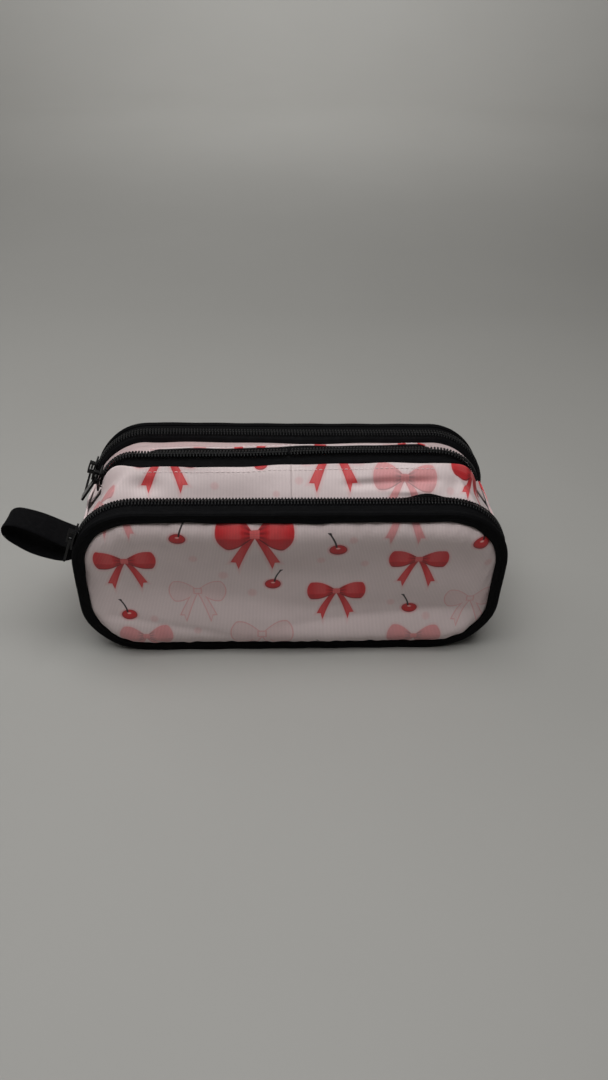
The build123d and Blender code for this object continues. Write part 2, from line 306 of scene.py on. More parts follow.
def makeCherryGroup():
    # A flattened round fruit of half width 1 with a small highlight, and a stem that bends as a parabola.
    group, given, result = newGroup(
        "cherryPrint",
        [("Place", vector, None), ("Centre", vector, None), ("Size", number, 4.0), ("Bend", number, 1.0)],
        [("Fruit", number), ("Stem", number), ("Light", number), ("Shade", number), ("Glow", number)],
    )
    local = addNode(group, "ShaderNodeVectorMath", operation="SUBTRACT")
    feed(group, local.inputs[0], given["Place"])
    feed(group, local.inputs[1], given["Centre"])
    split = addNode(group, "ShaderNodeSeparateXYZ")
    feed(group, split.inputs[0], local.outputs[0])
    u = calc(group, "DIVIDE", calc(group, "MULTIPLY", split.outputs[0], given["Bend"]), given["Size"])
    v = calc(group, "DIVIDE", split.outputs[1], given["Size"])
    away = calc(
        group, "SQRT",
        calc(
            group, "ADD", calc(group, "POWER", calc(group, "ABSOLUTE", u), 2.0),
            calc(group, "POWER", calc(group, "ABSOLUTE", calc(group, "DIVIDE", v, 0.76)), 2.0),
        ),
    )
    feed(group, result["Fruit"], ramp(group, away, 1.04, 0.97))
    feed(group, result["Glow"], ramp(group, away, 1.42, 1.0))
    feed(
        group, result["Shade"],
        calc(
            group, "SUBTRACT", ramp(group, away, 1.03, 0.85),
            calc(group, "MULTIPLY", ramp(group, v, -0.2, -0.8), 0.4),
        ),
    )
    spot = calc(
        group, "SQRT",
        calc(
            group, "ADD",
            calc(group, "POWER", calc(group, "ABSOLUTE", calc(group, "SUBTRACT", u, 0.02)), 2.0),
            calc(
                group, "POWER",
                calc(group, "ABSOLUTE", calc(group, "MULTIPLY", calc(group, "SUBTRACT", v, 0.22), 2.0)),
                2.0,
            ),
        ),
    )
    feed(group, result["Light"], ramp(group, spot, 0.34, 0.10))
    rise = calc(group, "SUBTRACT", v, 0.35)
    line = calc(
        group, "MULTIPLY_ADD", calc(group, "POWER", calc(group, "MAXIMUM", rise, 0.0), 1.7), 0.26, 0.22,
    )
    wide = calc(group, "MULTIPLY_ADD", ramp(group, rise, 1.7, 2.0), 0.09, 0.12)
    stem = calc(group, "SUBTRACT", wide, calc(group, "ABSOLUTE", calc(group, "SUBTRACT", u, line)))
    stem = calc(group, "MINIMUM", stem, calc(group, "MINIMUM", rise, calc(group, "SUBTRACT", 2.05, rise)))
    feed(group, result["Stem"], ramp(group, stem, -0.03, 0.04))
    return group


weaveGroup = makeWeaveGroup()
bowGroup = makeBowGroup()
cherryGroup = makeCherryGroup()

clothLook = {
    "ground": (0.72, 0.60, 0.595, 1),
    "red": (0.60, 0.022, 0.028, 1),
    "deepRed": (0.10, 0.002, 0.006, 1),
    "lightRed": (0.80, 0.16, 0.16, 1),
    "pink": (0.68, 0.17, 0.18, 1),
    "halo": (0.72, 0.33, 0.34, 1),
    "spark": (0.90, 0.55, 0.52, 1),
    "stem": (0.02, 0.010, 0.012, 1),
    "pitch": 0.75,
    "roughness": 0.42,
    "sheen": 0.10,
}


def baseMaterial(name, roughness, sheen=0.0, metallic=0.0, coat=0.0, specular=0.5):
    material = bpy.data.materials.new(name)
    material.use_nodes = True
    shader = material.node_tree.nodes["Principled BSDF"]
    shader.inputs["Roughness"].default_value = roughness
    shader.inputs["Metallic"].default_value = metallic
    shader.inputs["Coat Weight"].default_value = coat
    shader.inputs["Sheen Weight"].default_value = sheen
    shader.inputs["Specular IOR Level"].default_value = specular
    return material, material.node_tree, shader


def roughen(tree, shader, height, distance, strength=1.0):
    bump = addNode(tree, "ShaderNodeBump")
    bump.inputs["Distance"].default_value = distance
    bump.inputs["Strength"].default_value = strength
    feed(tree, bump.inputs["Height"], height)
    tree.links.new(bump.outputs["Normal"], shader.inputs["Normal"])


def clothPlace(tree):
    # The cloth's own flat pattern in millimetres, kept in the UV map in tenths of a metre.
    source = addNode(tree, "ShaderNodeUVMap", uv_map="cloth")
    scaled = addNode(tree, "ShaderNodeVectorMath", operation="SCALE")
    scaled.inputs["Scale"].default_value = 100.0
    tree.links.new(source.outputs["UV"], scaled.inputs[0])
    return scaled.outputs[0]


def printedCloth(name, motifs, look=clothLook, slant=0.0):
    material, tree, shader = baseMaterial(name, look["roughness"], look["sheen"])
    place = clothPlace(tree)
    paint = look["ground"]
    for kind, x, z, size, *extra in motifs:
        centre = (float(x), float(z), 0.0)
        if kind in ("bow", "pinkBow", "lineBow", "paleBow"):
            turn, fullness = (extra + [0, 1])[:2]
            bow = useGroup(
                tree, bowGroup, Place=place, Centre=centre, Size=size / 2, Turn=math.radians(turn),
                Fullness=float(fullness),
            )
            if kind == "lineBow":
                paint = blendColours(tree, calc(tree, "MULTIPLY", bow["Mask"], 0.12), paint, look["pink"])
                paint = blendColours(tree, calc(tree, "MULTIPLY", bow["Edge"], 0.50), paint, look["pink"])
                continue
            strong = 1.0 if kind == "bow" else 0.62
            paint = blendColours(
                tree, calc(tree, "MULTIPLY", bow["Glow"], 0.45 * strong), paint, look["halo"],
            )
            red = look["red"] if kind == "bow" else look["pink"]
            darker = calc(tree, "MULTIPLY", bow["Shade"], -1.0, clamp=True)
            lighter = calc(tree, "MULTIPLY", bow["Shade"], 3.0, clamp=True)
            body = blendColours(
                tree, darker,
                blendColours(tree, calc(tree, "MULTIPLY", lighter, 0.5), red, look["lightRed"]),
                look["deepRed"],
            )
            body = blendColours(tree, calc(tree, "MULTIPLY", bow["Knot"], 0.75), body, look["lightRed"])
            paint = blendColours(tree, calc(tree, "MULTIPLY", bow["Mask"], strong), paint, body)
        elif kind == "cherry":
            bend = extra[0] if extra else 1
            cherry = useGroup(
                tree, cherryGroup, Place=place, Centre=centre, Size=size / 2, Bend=float(bend),
            )
            paint = blendColours(tree, calc(tree, "MULTIPLY", cherry["Glow"], 0.75), paint, look["halo"])
            fruit = blendColours(
                tree, calc(tree, "MULTIPLY", cherry["Shade"], 0.9, clamp=True), look["deepRed"],
                look["red"],
            )
            fruit = blendColours(tree, calc(tree, "MULTIPLY", cherry["Light"], 0.9), fruit, look["spark"])
            paint = blendColours(tree, cherry["Fruit"], paint, fruit)
            paint = blendColours(tree, cherry["Stem"], paint, look["stem"])
        else:
            away = addNode(tree, "ShaderNodeVectorMath", operation="DISTANCE")
            feed(tree, away.inputs[0], place)
            away.inputs[1].default_value = centre
            spot = ramp(tree, away.outputs["Value"], size / 2, size / 5)
            paint = blendColours(tree, calc(tree, "MULTIPLY", spot, 0.22), paint, look["pink"])
    weave = useGroup(tree, weaveGroup, Place=place, Pitch=look["pitch"], Slant=slant)
    shade = addNode(tree, "ShaderNodeCombineColor")
    for socket in shade.inputs:
        feed(tree, socket, weave["Shade"])
    paint = blendColours(tree, 1.0, paint, shade.outputs[0], "MULTIPLY")
    feed(tree, shader.inputs["Base Color"], paint)
    roughen(tree, shader, weave["Height"], 0.00014, 0.9)
    return material


def blackCloth(name, base, roughness, pitch, ribs=0.0, sheen=0.0):
    # Woven or knitted black trim: a fine weave, faint lengthwise ribs and dusty unevenness.
    material, tree, shader = baseMaterial(name, roughness, sheen, specular=0.06)
    place = clothPlace(tree)
    weave = useGroup(tree, weaveGroup, Place=place, Pitch=pitch, Slant=0.5)
    dust = addNode(tree, "ShaderNodeTexNoise")
    dust.inputs["Scale"].default_value = 0.35
    dust.inputs["Detail"].default_value = 5.0
    tree.links.new(place, dust.inputs["Vector"])
    lift = ramp(tree, dust.outputs[0], 0.42, 0.75)
    pale = tuple(min(1.0, c * 1.6 + 0.002) for c in base[:3]) + (1,)
    feed(
        tree, shader.inputs["Base Color"],
        blendColours(tree, calc(tree, "MULTIPLY", lift, 0.5), base, pale),
    )
    split = addNode(tree, "ShaderNodeSeparateXYZ")
    tree.links.new(place, split.inputs[0])
    rib = calc(tree, "SINE", calc(tree, "MULTIPLY", split.outputs[1], 2 * math.pi / 1.3))
    roughen(tree, shader, calc(tree, "MULTIPLY_ADD", rib, ribs, weave["Height"]), 0.00012, 0.7)
    return material


def hardBlack(name, base, roughness, metallic, coat):
    # Enamel or nylon: a slightly uneven gloss, with fine scuffs.
    material, tree, shader = baseMaterial(name, roughness, 0.0, metallic, coat, 0.22)
    source = addNode(tree, "ShaderNodeTexCoord")
    scuff = addNode(tree, "ShaderNodeTexNoise")
    scuff.inputs["Scale"].default_value = 900.0
    scuff.inputs["Detail"].default_value = 4.0
    tree.links.new(source.outputs["Object"], scuff.inputs["Vector"])
    wear = ramp(tree, scuff.outputs[0], 0.55, 0.75)
    pale = tuple(c * 2.0 + 0.004 for c in base[:3]) + (1,)
    feed(
        tree, shader.inputs["Base Color"],
        blendColours(tree, calc(tree, "MULTIPLY", wear, 0.35), base, pale),
    )
    feed(tree, shader.inputs["Roughness"], calc(tree, "MULTIPLY_ADD", wear, 0.2, roughness))
    roughen(tree, shader, scuff.outputs[0], 0.00003, 0.4)
    return material


bindingMaterial = blackCloth("bindingBlack", (0.0035, 0.0035, 0.004, 1), 0.72, 0.6, ribs=0.5)
tapeMaterial = blackCloth("zipTapeBlack", (0.0035, 0.0035, 0.004, 1), 0.75, 0.5, ribs=0.8)
webbingMaterial = blackCloth("webbingBlack", (0.0035, 0.0035, 0.004, 1), 0.85, 0.9, ribs=0.2)
coilMaterial = hardBlack("coilNylon", (0.003, 0.003, 0.0035, 1), 0.30, 0.0, 0.0)
sliderMaterial = hardBlack("sliderEnamel", (0.010, 0.010, 0.011, 1), 0.3, 0.5, 0.3)
liningMaterial = printedCloth(
    "liningPlain", [], {**clothLook, "ground": (0.50, 0.47, 0.47, 1), "pitch": 0.5},
)
print("materials")


def smoothStep(value, low, high):
    t = np.clip((value - low) / (high - low), 0, 1)
    return t * t * (3 - 2 * t)


def hump(value, centre, width):
    return np.exp(-(((value - centre) / width) ** 2))


def ripple(x, z, waves):
    # A sum of slanting sines: each wave has a length, a direction in degrees, a phase and a height.
    total = np.zeros(np.broadcast(x, z).shape)
    for length, direction, phase, height in waves:
        turn = math.radians(direction)
        along = x * math.cos(turn) + z * math.sin(turn)
        total = total + height * np.sin(2 * math.pi * along / length + phase)
    return total


def surfacePiece(name, points, uv=None, wrapRows=False, wrapColumns=False, outward=None, caps=False):
    # Four-sided faces between neighbouring points of a grid given in millimetres. A closed form is turned
    # so that its volume is positive, an open one so that it faces away from the point "outward".
    rows, columns = points.shape[:2]
    index = np.arange(rows * columns).reshape(rows, columns)
    if wrapRows:
        index = np.vstack([index, index[:1]])
    if wrapColumns:
        index = np.hstack([index, index[:, :1]])
    quads = np.stack([index[:-1, :-1], index[:-1, 1:], index[1:, 1:], index[1:, :-1]], -1).reshape(-1, 4)
    flat = points.reshape(-1, 3)
    corner = flat[quads]
    normal = np.cross(corner[:, 2] - corner[:, 0], corner[:, 3] - corner[:, 1])
    centre = corner.mean(1)
    reference = flat.mean(0) if outward is None else np.array(outward, float)
    if (normal * (centre - reference)).sum() < 0:
        quads = quads[:, ::-1]
    faces = quads.tolist()
    if caps:
        flip = (normal * (centre - reference)).sum() < 0
        first, last = index[0, :columns].tolist(), index[-1, :columns].tolist()
        faces += [first if flip else first[::-1], last[::-1] if flip else last]
    mesh = bpy.data.meshes.new(name)
    mesh.from_pydata((flat * mm).tolist(), [], faces)
    mesh.shade_smooth()
    if uv is not None:
        layer = mesh.uv_layers.new(name="cloth")
        loops = np.zeros(len(mesh.loops), np.int32)
        mesh.loops.foreach_get("vertex_index", loops)
        layer.data.foreach_set("uv", (uv.reshape(-1, 2)[loops] / 100).astype(np.float32).ravel())
    item = bpy.data.objects.new(name, mesh)
    bpy.context.scene.collection.objects.link(item)
    return item


def thicken(item, thickness, offset=-1.0):
    solid = item.modifiers.new("cloth", "SOLIDIFY")
    solid.thickness = thickness * mm
    solid.offset = offset


def finishPiece(item, material, slot, body=None, blend=None, replaces=()):
    item.data.materials.append(material)
    if blend:
        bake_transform(item)
    else:
        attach(item, body)
    if replaces:
        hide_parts(*replaces)


def pocketOutline(distance, inset=0.0):
    # Walks the rounded rectangle from the bottom's middle, to the left, up, over and round: four straights
    # joined by quarter circles. Gives x, z and the outward direction.
    radius, half, height = caseSize["cornerRadius"], caseSize["length"] / 2, caseSize["pocketHeight"]
    flat, side, arc = half - radius, height - 2 * radius, math.pi / 2 * radius
    bounds = np.cumsum([0, flat, arc, side, arc, 2 * flat, arc, side, arc, flat])
    d = np.mod(np.asarray(distance, float), bounds[-1])
    angle = np.zeros_like(d)
    for step in (1, 3, 5, 7):
        angle = angle + np.clip((d - bounds[step]) / arc, 0, 1) * math.pi / 2
    nx, nz = -np.sin(angle), -np.cos(angle)
    cx = np.where(d < bounds[4], -flat, flat) * 1.0
    cx = np.where(d < bounds[1], -d, cx)
    cx = np.where((d >= bounds[4]) & (d < bounds[5]), -flat + (d - bounds[4]), cx)
    cx = np.where(d >= bounds[8], flat - (d - bounds[8]), cx)
    cz = np.where((d < bounds[2]) | (d >= bounds[7]), radius, height - radius) * 1.0
    cz = np.where((d >= bounds[2]) & (d < bounds[3]), radius + d - bounds[2], cz)
    cz = np.where((d >= bounds[6]) & (d < bounds[7]), height - radius - (d - bounds[6]), cz)
    return cx + nx * (radius - inset), cz + nz * (radius - inset), nx, nz


pocketRound = 2 * (2 * 79 + 27) + 2 * math.pi * 34
zipStart = 79 + math.pi * 17 + 27  # where the outline's left side meets the upper corner
hornEnd = zipStart + math.radians(31.8) * 34
zipEnd = pocketRound - zipStart


def backRise(x, z):
    # The back pocket's top edge stands a little higher than the front's, most of all left of the middle.
    return (1.5 + 0.7 * hump(x, -70, 50)) * smoothStep(z, 76, 96)


def carryRound(distances, profile, inset, mirror, wobble=None):
    # Carries a closed section of (outwards, depth) points along the pocket's outline. Depth is counted
    # towards the middle of the case from the rim, and "mirror" is -1 in front and 1 behind.
    x, z, nx, nz = pocketOutline(distances, inset)
    out = profile[None, :, 0] + (0 if wobble is None else wobble[0])
    deep = profile[None, :, 1] + (0 if wobble is None else wobble[1])
    points = np.empty((len(x), len(profile), 3))
    points[..., 0] = x[:, None] + nx[:, None] * out
    points[..., 2] = z[:, None] + nz[:, None] * out
    points[..., 1] = mirror * (caseSize["rimY"] - deep)
    if mirror > 0:
        points[..., 2] += backRise(points[..., 0], points[..., 2])
    return points


def sectionUv(distances, profile):
    steps = np.r_[0, np.cumsum(np.hypot(*np.diff(profile, axis=0).T))]
    return np.stack(np.broadcast_arrays(distances[:, None], steps[None, :]), -1)


foldLine = {
    "front": ((0, -46, 54), (0, -46, 68)),
    "back": ((0, 46, 54), (0, 46, 68)),
}


panelShape = {
    "bulge": 7.6,
    "shoulder": 14,  # how far in from the binding the panel still rises
    "rows": 150,
    "columns": 300,
}

frontMotifs = [
    ("bow", -86, 66, 32), ("bow", -19, 84, 40, 0, 1.55), ("bow", 24, 43.5, 31.5), ("bow", 66, 66, 31.5),
    ("lineBow", -50, 44, 30, 0, 1.2), ("lineBow", -16, 17, 34, 0, 1.3), ("lineBow", 97, 38, 28, 0, 1.2),
    (
        "pinkBow", -79, 16, 29, 0, 1.3,
    ), ("pinkBow", 68, 14, 30, 0, 1.3), ("pinkBow", 57, 97, 32), ("pinkBow", -88, 98, 28),
    ("cherry", -58, 81, 8.4, 1), ("cherry", 23.5, 73.5, 9.2, -1), ("cherry", -10, 49, 8.4, 1),
    ("cherry", -87, 30, 8.2, -1), (
        "cherry", 64.5, 31, 8.4, -1,
    ), ("cherry", 97, 77, 9.0, 1), ("cherry", 18, 3, 7, -1),
    ("dot", -51, 67, 6), ("dot", -36, 55, 7), ("dot", -21, 43, 7), ("dot", -51, 19, 6), ("dot", -74, 27, 6),
    ("dot", 15, 66, 6), ("dot", 31, 80, 6), ("dot", 38, 63, 6), ("dot", 54, 35, 6), (
        "dot", 103, 63, 6,
    ), ("dot", 74, 26, 6),
]


def panelPoints(mirror):
    # The flat panel is the binding's inner outline; its crown rises steeply inside the binding and then stays
    # broad, with shallow pulls across it and small puckers along the sewn edge.
    rows, columns = panelShape["rows"], panelShape["columns"]
    edge = caseSize["bindingWidth"] - 1.2
    radius = caseSize["cornerRadius"] - edge
    half, low, high = caseSize["length"] / 2 - edge, edge, caseSize["pocketHeight"] - edge
    v = (1 - np.cos(np.linspace(0, math.pi, rows))) / 2 * 0.5 + np.linspace(0, 1, rows) * 0.5
    z = (low + (high - low) * v)[:, None]
    into = np.clip(np.maximum(low + radius - z, z - (high - radius)), 0, radius)
    width = half - radius + np.sqrt(np.maximum(radius**2 - into**2, 0))
    u = np.linspace(-1, 1, columns)[None, :]
    x = u * width
    z = np.broadcast_to(z, x.shape)
    dx = np.maximum(np.abs(x) - (half - radius), 0)
    dz = np.maximum(np.maximum(low + radius - z, z - (high - radius)), 0)
    inCorner = (dx > 0) & (dz > 0)
    gap = np.where(
        inCorner, radius - np.hypot(dx, dz), np.minimum(half - np.abs(x), np.minimum(z - low, high - z)),
    )
    gap = np.maximum(gap, 0)
    rise = 1 - (1 - np.clip(gap / panelShape["shoulder"], 0, 1)) ** 3
    fold = 41 - 0.10 * x - 5 * hump(x, 15, 28)
    belly = 0.28 + 0.72 * (1 - smoothStep(z, 12, fold)) + 0.42 * smoothStep(z, 54, 88)
    crown = panelShape["bulge"] * rise * belly
    puckers = np.exp(-gap / 5) * (1 - np.exp(-gap / 0.9)) * ripple(
        x, z, [(9.5, 8, 0.3, 0.34), (6.1, -20, 1.9, 0.22), (13.7, 30, 4, 0.3)],
    )
    pulls = (1 - np.exp(-gap / 9)) * ripple(
        x, z, [(61, 62, 0.5, 0.34), (38, 100, 2.2, 0.22), (95, 20, 1.0, 0.5), (27, 75, 4.0, 0.10)],
    )
    crease = -0.55 * hump(z - 22 - 0.10 * x, 0, 3.2) * smoothStep(x, -25, 15) * smoothStep(-x, -100, -70)
    crease = crease - 0.45 * hump(
        z - 19 + 0.22 * (x + 50), 0, 2.6,
    ) * smoothStep(-x, 20, 50) * smoothStep(x, -108, -92)
    y = mirror * (caseSize["rimY"] - 0.6 + crown + puckers + pulls + crease)
    lifted = z + backRise(x, z) * (mirror > 0)
    return np.stack([x, y, lifted], -1), np.stack([x * -mirror, z], -1)


def makePanel(side):
    mirror = -1 if side == "front" else 1
    points, uv = panelPoints(mirror)
    panel = surfacePiece(side + "PrintedPanel", points, uv, outward=(0, 0, 50))
    thicken(panel, 1.4)
    finishPiece(
        panel, panelCloth, "printed_cloth", blend=("case", side + "_cover", *foldLine[side]),
        replaces=(side + "_panel", side + "_cover_panel"),
    )


panelCloth = printedCloth("panelCloth", frontMotifs)
for side in ("front", "back"):
    makePanel(side)
print("panels")


bindingShape = {"steps": 520, "front": 1.9}


def bindingProfile():
    # Two soft ribs side by side on the face, rolled over the rim and back under the tape.
    width, face = caseSize["bindingWidth"], bindingShape["front"]
    across = np.linspace(0, 1, 17)
    ribs = face - 0.15 + 0.38 * np.abs(np.sin(across * 2 * math.pi)) ** 0.7 * (1 - 0.35 * across)
    ribs[[0, -1]] = face - 0.6
    front = np.stack([-width + across * width, -ribs], -1)
    rim = np.array([(0.35, -1.1), (0.5, -0.5), (0.35, 0.2), (0.0, 0.8), (-0.5, 1.0)])
    under = np.array([(-1.6, 0.6), (-width + 0.3, 0.2), (-width - 0.1, -0.7)])
    return np.vstack([front, rim, under])


def makeBinding(side):
    mirror = -1 if side == "front" else 1
    distances = np.linspace(0, pocketRound, bindingShape["steps"], endpoint=False)
    profile = bindingProfile()
    x, z, _, _ = pocketOutline(distances)
    sway = (
        0.35 * np.sin(distances / 17) + 0.25 * np.sin(distances / 7.3 + 1) + 0.12 * np.sin(distances / 2.9)
    )
    lifted = np.where(z > 3, sway, np.abs(sway) * 0.2)
    inner = (profile[:, 0] < -3)[None, :] * lifted[:, None] * 0.9
    depth = 0.16 * np.sin(distances / 4.1)[:, None] * np.ones((1, len(profile)))
    points = carryRound(distances, profile, 0, mirror, (inner, depth))
    points[..., 2] = np.maximum(points[..., 2], 0.05)
    uv = sectionUv(distances, profile)
    band = surfacePiece(side + "RimBinding", points, uv, wrapRows=True, wrapColumns=True)
    finishPiece(
        band, bindingMaterial, "binding", blend=("case", side + "_cover", *foldLine[side]),
        replaces=(side + "_binding", side + "_cover_binding"),
    )


for side in ("front", "back"):
    makeBinding(side)
print("bindings")


tapeShape = {"thick": 0.8}


def stripProfile(points, thickness):
    # A thin closed section round an open line of (outwards, depth) points.
    line = np.array(points, float)
    run = np.gradient(line, axis=0)
    normal = np.stack([run[:, 1], -run[:, 0]], -1)
    normal /= np.linalg.norm(normal, axis=1, keepdims=True)
    return np.vstack([line + normal * thickness / 2, (line - normal * thickness / 2)[::-1]])


def makeTape(name, side, span, line, slotName="zip_tape", material=None, wobble=None, **riding):
    mirror = -1 if side == "front" else 1
    count = max(12, int((span[1] - span[0]) / 1.1))
    distances = np.linspace(*span, count)
    profile = stripProfile(line, tapeShape["thick"])
    shift = wobble(distances, profile) if wobble else None
    points = carryRound(distances, profile, 0, mirror, shift)
    tape = surfacePiece(name, points, sectionUv(distances, profile), wrapColumns=True, caps=True)
    finishPiece(tape, material or tapeMaterial, slotName, **riding)


outerLine = [
    (-1.2, 0.6), (-1.0, 1.5), (-0.9, 2.6), (-0.8, 3.8), (-0.7, 5.0), (-0.65, 6.2), (-0.65, 7.4),
    (-0.65, 8.6),
]
innerLine = [
    (-0.65, 9.4), (-0.65, 10.6), (-0.7, 11.6), (-0.75, 12.6), (-0.85, 13.6), (-1.0, 14.8), (-1.1, 15.9),
    (-1.2, 16.9), (-1.3, 17.9),
]
faceLine = [(-1.5, 14.0), (-1.4, 14.8), (-1.3, 15.6), (-1.2, 16.4), (-1.2, 17.2), (-1.3, 18.1)]


def valleyFall(distances, profile, start):
    # Along the top the tape drops away behind the zip, down to the seam in the valley.
    _, _, _, nz = pocketOutline(distances)
    return np.maximum(nz, 0)[:, None] * 9.3 * smoothStep(profile[:, 1], start, 18.6)[None, :]


def frontBuckle(distances, profile):
    # Behind the front coil the tape is pushed up into one hump, right of the middle.
    x, z, _, _ = pocketOutline(distances)
    where = hump(x, 69, 10) * (z > 80)
    loose = smoothStep(
        profile[:, 1], 10.5, 15,
    )[None, :] * (1 - smoothStep(profile[:, 1], 17.6, 19))[None, :]
    return where[:, None] * loose * 5.4 - valleyFall(
        distances, profile, 11.6,
    ), -where[:, None] * loose * 0.5


def backDip(distances, profile):
    # The back zip's inner tape stays level further in, and its edge wanders and dips near the left end.
    x, z, _, _ = pocketOutline(distances)
    wander = 0.7 * np.sin(x / 19 + 1) + 0.4 * np.sin(x / 8.1) - 1.5 * hump(x, -84, 10)
    loose = smoothStep(
        profile[:, 1], 11.5, 14,
    )[None, :] * (1 - smoothStep(profile[:, 1], 15.5, 18))[None, :]
    top = (z > 70)[:, None]
    return -valleyFall(
        distances, profile, 13.2,
    ) - 0.6 * hump(x, -74, 12)[:, None] * loose * top, wander[:, None] * loose * top


def makeInnerFace():
    # Below the back zip's inner tape the printed cloth goes on down to the seam in the valley.
    distances = np.linspace(zipStart - 4, zipEnd + 4, 300)
    profile = stripProfile(faceLine, 0.7)
    points = carryRound(distances, profile, 0, 1, backDip(distances, profile))
    face = surfacePiece("backInnerFace", points, sectionUv(distances, profile), wrapColumns=True, caps=True)
    finishPiece(face, panelCloth, "printed_cloth", body="case", replaces=("back_inner_tape",))


for side, wobble in (("front", frontBuckle), ("back", backDip)):
    blend = ("case", side + "_cover", *foldLine[side])
    makeTape(
        side + "OuterTape", side, (hornEnd + 0.2, zipEnd + 4), outerLine, blend=blend,
        replaces=(side + "_cover_tape",),
    )
    makeTape(
        side + "OuterTapeEnd", side, (zipStart - 4, hornEnd), outerLine, body="case",
        replaces=(side + "_tape_end",),
    )
    line = innerLine if side == "front" else innerLine[:6]
    makeTape(
        side + "InnerTape", side, (zipStart - 4, zipEnd + 4), line, wobble=wobble, body="case",
        replaces=(side + "_inner_tape",),
    )
makeInnerFace()
print("tapes")


coilShape = {"pitch": 1.66, "wire": 0.40, "ring": 6}
toothLine = np.array([
    (2.95, 0.15), (2.75, 0.95), (2.1, 1.42), (1.1, 1.5), (0.1, 1.38), (-0.42, 0.9), (-0.30, 0.25),
])


def toothForm():
    # One loop of the coil: a round wire bent over, from the tape to its head past the zip's middle line.
    line = toothLine
    run = np.gradient(line, axis=0)
    run /= np.linalg.norm(run, axis=1, keepdims=True)
    normal = np.stack([-run[:, 1], run[:, 0]], -1)
    turn = np.linspace(0, 2 * math.pi, coilShape["ring"], endpoint=False)
    size = coilShape["wire"] * np.array([0.9, 1, 1.05, 1.1, 1.2, 1.15, 0.7])
    side = np.cos(turn)[None, :] * size[:, None]
    lift = np.sin(turn)[None, :] * size[:, None] * 0.9
    across = line[:, None, 0] + normal[:, None, 0] * lift
    height = line[:, None, 1] + normal[:, None, 1] * lift
    return across, height, side * 1.15


def copiesPiece(name, grid):
    # One mesh from a grid of copies, each a closed ring of points carried along stations, capped at both ends.
    count, stations, ring = grid.shape[:3]
    index = np.arange(stations * ring).reshape(stations, ring)
    index = np.hstack([index, index[:, :1]])
    quads = np.stack([index[:-1, :-1], index[:-1, 1:], index[1:, 1:], index[1:, :-1]], -1).reshape(-1, 4)
    one = grid[0].reshape(-1, 3)
    corner = one[quads]
    normal = np.cross(corner[:, 2] - corner[:, 0], corner[:, 3] - corner[:, 1])
    flip = (normal * (corner.mean(1) - one.mean(0))).sum() < 0
    caps = np.stack([index[0, :ring], index[-1, :ring][::-1]])
    if flip:
        quads = quads[:, ::-1]
    else:
        caps = caps[:, ::-1]
    offset = (np.arange(count) * stations * ring)[:, None, None]
    faces = (quads[None] + offset).reshape(-1, 4).tolist() + (caps[None] + offset).reshape(
        -1, ring,
    ).tolist()
    mesh = bpy.data.meshes.new(name)
    mesh.from_pydata((grid.reshape(-1, 3) * mm).tolist(), [], faces)
    mesh.shade_smooth()
    item = bpy.data.objects.new(name, mesh)
    bpy.context.scene.collection.objects.link(item)
    return item


def makeCoil(name, trail, span, row, phase, **riding):
    # Copies the tooth along a trail that gives places and three directions. The row is the tape's side.
    count = int((span[1] - span[0]) / coilShape["pitch"])
    along = span[0] + (np.arange(count) + 0.5 * phase) * coilShape["pitch"]
    place, outward, forward, sideways = trail(along)
    across, height, lengthwise = toothForm()
    grid = (
        place[:, None, None, :]
        + outward[:, None, None, :] * height[None, :, :, None]
        + forward[:, None, None, :] * lengthwise[None, :, :, None]
        + sideways[:, None, None, :] * (row * across)[None, :, :, None]
    )
    finishPiece(copiesPiece(name, grid), coilMaterial, "zip_coil", **riding)


def pocketTrail(side):
    mirror = -1 if side == "front" else 1

    def trail(along):
        x, z, nx, nz = pocketOutline(along, 0.75)
        zero = np.zeros_like(x)
        if mirror > 0:
            z = z + backRise(x, z)
        place = np.stack([x, np.full_like(x, mirror * caseSize["zipY"]), z], -1)
        outward = np.stack([nx, zero, nz], -1)
        forward = np.stack([nz, zero, -nx], -1)
        sideways = np.stack([zero, np.full_like(x, float(mirror)), zero], -1)
        return place, outward, forward, sideways

    return trail


for side in ("front", "back"):
    blend = ("case", side + "_cover", *foldLine[side])
    trail = pocketTrail(side)
    makeCoil(
        side + "OuterCoil", trail, (hornEnd + 0.2, zipEnd + 3), 1, 0, blend=blend,
        replaces=(side + "_cover_coil",),
    )
    makeCoil(
        side + "OuterCoilEnd", trail, (zipStart - 3, hornEnd), 1, 0, body="case",
        replaces=(side + "_coil_end",),
    )
    makeCoil(
        side + "InnerCoil", trail, (zipStart - 3, zipEnd + 3), -1, 1, body="case",
        replaces=(side + "_inner_coil",),
    )
print("pocket coils")


mainShape = {
    "ridge": 102.9,
    "valley": 84.5,
    "edgeZ": 101.9,
    "tilt": 1.1,  # how much higher the back edge of the band lies than its middle, and the front edge lower
    "halfBand": 8.3,  # from the zip's middle to its tape's sewn edge
    "endBand": 3.6,
    "mouth": 78,
    "cornerX": 80,
    "cornerZ": 81.4,
    "radius": 22,
    "foot": 110.5,
    "footZ": 69,
}


def zipSway(x):
    # The middle zip lies a little forward at its left end and back at its right end.
    ends = -1.2 * (1 - smoothStep(-x, 76, 92)) + 4.4 * smoothStep(x, -70, 62) - 3.2 * smoothStep(x, 74, 96)
    return ends + 0.3 * np.sin(x / 13)


def centreLine(x):
    # Level, then a quarter circle at each corner, then a straight fall to the end's foot.
    out = np.abs(x) - mainShape["cornerX"]
    radius = mainShape["radius"] - 0.5
    arc = mainShape["cornerZ"] + np.sqrt(np.maximum(radius**2 - np.clip(out, 0, radius) ** 2, 0))
    fall = (out - radius) / (mainShape["foot"] - mainShape["cornerX"] - radius)
    return np.where(
        out > radius, mainShape["cornerZ"] - (mainShape["cornerZ"] - mainShape["footZ"]) * fall, arc,
    )


